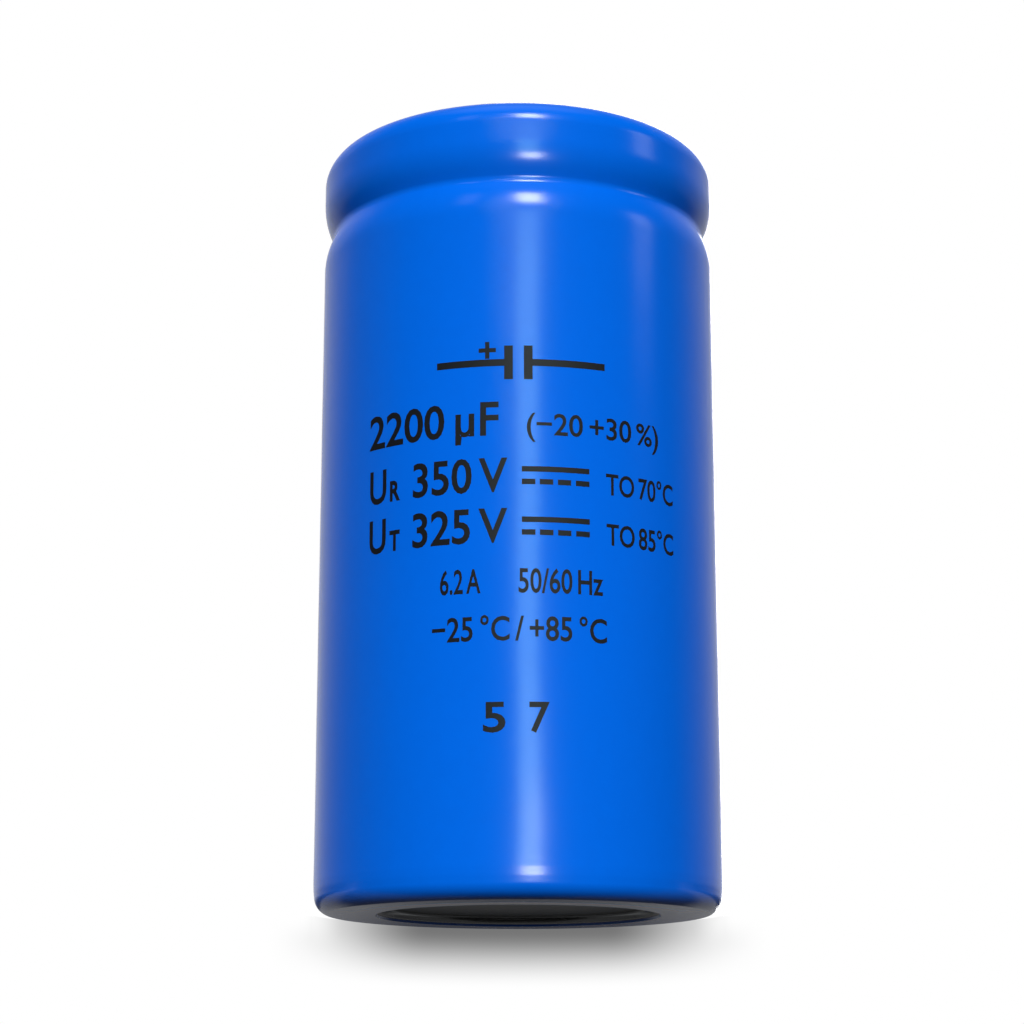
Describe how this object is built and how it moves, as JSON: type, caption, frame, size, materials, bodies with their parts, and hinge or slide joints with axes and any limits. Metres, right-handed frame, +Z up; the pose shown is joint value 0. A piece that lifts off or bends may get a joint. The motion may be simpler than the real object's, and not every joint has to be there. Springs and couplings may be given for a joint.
{
  "type": "electrolytic capacitor",
  "caption": "Tall cylindrical capacitor in a blue sleeved aluminium can with a rolled neck, a moulded cover disc and threaded terminals.",
  "frame": {"origin": "centre of the base, on the surface that it stands on", "axes": "+Z up the can's axis to the terminals, -Y towards the printed front, positive terminal on -X"},
  "size_m": [0.0772, 0.0772, 0.1524],
  "materials": {
    "blue_sleeve": "glossy shrunk PVC film",
    "bare_aluminium": "deep-drawn, dull",
    "dark_phenolic": "moulded, satin",
    "black_rubber": "moulded, matt",
    "turned_aluminium": "turned",
    "foil_tab": "rolled, bright",
    "pressed_board": "smooth pressed board",
    "paper_and_foil": "wound paper, soaked in electrolyte",
    "closing_tape": "film tape",
    "pale_plastic": "moulded polypropylene"
  },
  "bodies": {
    "root": {"sleeve": "blue_sleeve", "can": "bare_aluminium", "cover_disc": "dark_phenolic", "rim_gasket": "black_rubber", "vent_plug": "black_rubber", "terminal_plus": "turned_aluminium", "terminal_minus": "turned_aluminium", "terminal_seal_plus": "black_rubber", "terminal_seal_minus": "black_rubber", "rivet_washer_plus": "turned_aluminium", "rivet_washer_minus": "turned_aluminium", "anode_tab_inner": "foil_tab", "anode_tab_outer": "foil_tab", "cathode_tab_inner": "foil_tab", "cathode_tab_outer": "foil_tab", "tab_insulator": "pressed_board", "winding": "paper_and_foil", "closing_tape_upper": "closing_tape", "closing_tape_lower": "closing_tape", "base_insulator": "pale_plastic"}
  },
  "joints": []
}
